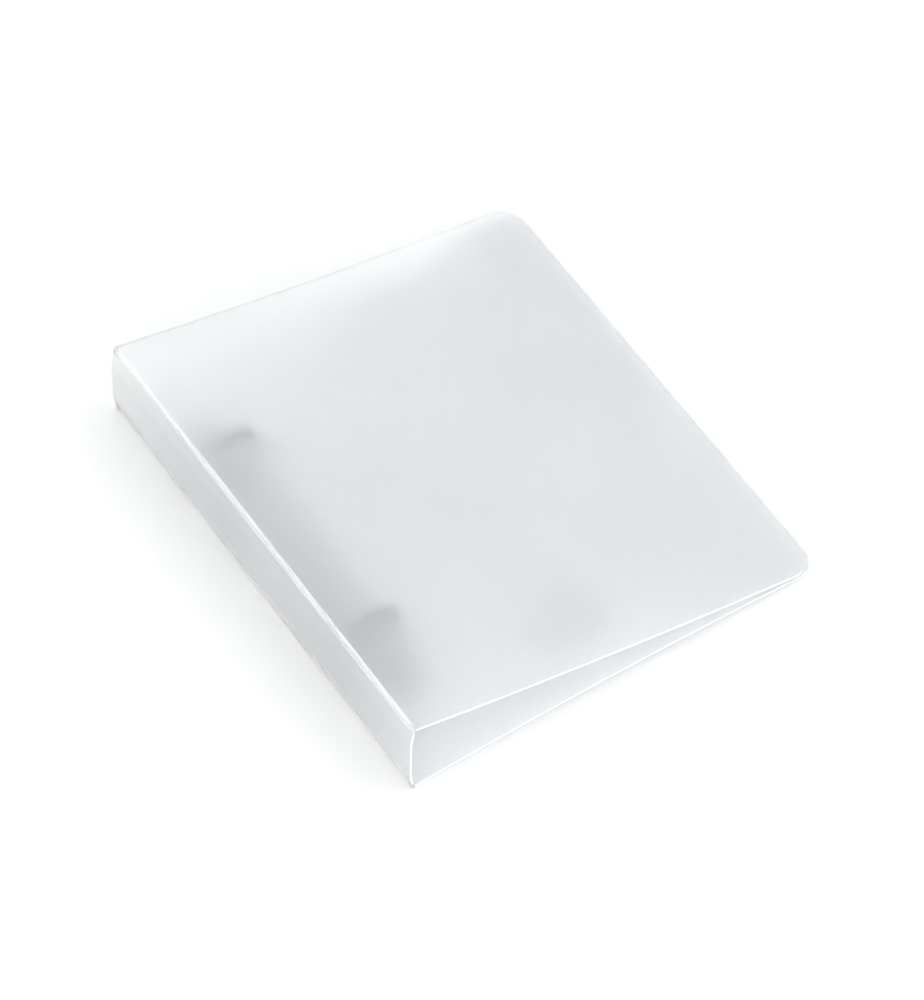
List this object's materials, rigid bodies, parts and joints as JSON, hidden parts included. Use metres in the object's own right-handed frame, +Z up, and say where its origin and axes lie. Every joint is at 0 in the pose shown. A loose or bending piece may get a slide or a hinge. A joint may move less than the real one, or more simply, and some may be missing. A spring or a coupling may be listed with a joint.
{
  "type": "ring binder",
  "caption": "Ring binder of frosted plastic sheet with a folding cover and a riveted metal mechanism whose round rings open in halves to hold punched sheets.",
  "frame": {"origin": "middle of the footprint, on the table the back cover lies on", "axes": "+X from the spine to the fore edge, +Y along the spine, +Z up through the closed covers"},
  "size_m": [0.151, 0.17, 0.031],
  "materials": {
    "frosted_sheet": "frosted translucent polypropylene",
    "pressed_fold": "pressed, slightly shiny polypropylene",
    "label": "plain matt",
    "plated_housing": "nickel-plated spring steel",
    "blade_steel": "rolled steel",
    "plated_wire": "nickel-plated wire",
    "rivet": "nickel-plated steel"
  },
  "bodies": {
    "back": {"back_cover": "frosted_sheet", "blank_label": "label", "mechanism_housing": "plated_housing", "rivet_upper": "rivet", "rivet_lower": "rivet", "rivet_washer_upper": "rivet", "rivet_washer_lower": "rivet"},
    "spine": {"spine_panel": "frosted_sheet", "front_crease": "pressed_fold", "back_crease": "pressed_fold"},
    "front": {"front_cover": "frosted_sheet"},
    "spine_side_rings": {"blade_spine_side": "blade_steel", "ring_upper_spine_half": "plated_wire", "ring_lower_spine_half": "plated_wire"},
    "fore_side_rings": {"blade_fore_side": "blade_steel", "ring_upper_fore_half": "plated_wire", "ring_lower_fore_half": "plated_wire"}
  },
  "joints": [
    {"name": "back_fold", "type": "hinge", "parent": "back", "child": "spine", "pos_m": [-0.0742, 0, 0.0004], "axis": [0, -1, 0], "range_deg": [0, 90]},
    {"name": "front_fold", "type": "hinge", "parent": "spine", "child": "front", "pos_m": [-0.0742, 0, 0.0306], "axis": [0, -1, 0], "range_deg": [0, 101]},
    {"name": "spine_side_blade_turn", "type": "hinge", "parent": "back", "child": "spine_side_rings", "pos_m": [-0.06367, 0, 0.00264], "axis": [0, -1, 0], "range_deg": [0, 8]},
    {"name": "fore_side_blade_turn", "type": "hinge", "parent": "back", "child": "fore_side_rings", "pos_m": [-0.05228, 0, 0.00316], "axis": [0, -1, 0], "range_deg": [-8, 0]}
  ],
  "couplings": [
    {"joint": "fore_side_blade_turn", "follows": "spine_side_blade_turn", "ratio": -1}
  ]
}
